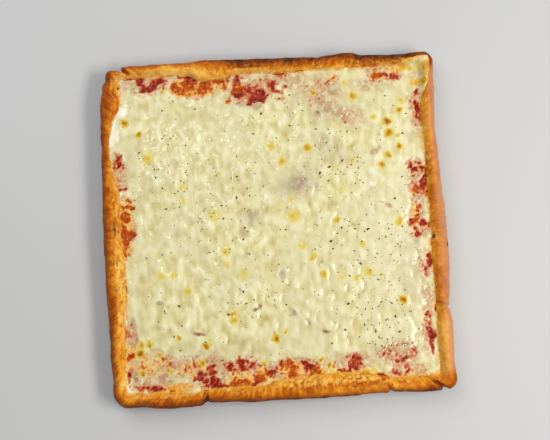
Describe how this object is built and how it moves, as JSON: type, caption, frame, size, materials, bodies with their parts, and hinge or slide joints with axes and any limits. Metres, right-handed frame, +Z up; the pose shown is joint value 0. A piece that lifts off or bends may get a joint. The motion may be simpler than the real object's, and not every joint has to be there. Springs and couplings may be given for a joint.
{
  "type": "sicilian pizza",
  "caption": "Square thick pizza: a flat dough base with a rolled, folded rim, tomato sauce in its well and a bumpy sheet of melted cheese with herb flakes, to serve whole.",
  "frame": {"origin": "middle of the flat underside, on the surface that the pizza rests on", "axes": "+Z up, out of the cheese; +X to the right and +Y to the top of the picture's view, along the pizza's sides"},
  "size_m": [0.3995, 0.4019, 0.0314],
  "materials": {
    "baked_dough": "baked crust, golden on the rim's inner side and reddish brown on its outer wall, dull with a faint sheen",
    "tomato_sauce": "wet, oily cooked tomato",
    "melted_cheese": "soft melted cheese, satin, with ochre blisters",
    "dried_herb": "dry leaf flakes"
  },
  "bodies": {
    "root": {"crust": "baked_dough", "sauce": "tomato_sauce", "cheese": "melted_cheese"}
  },
  "joints": []
}
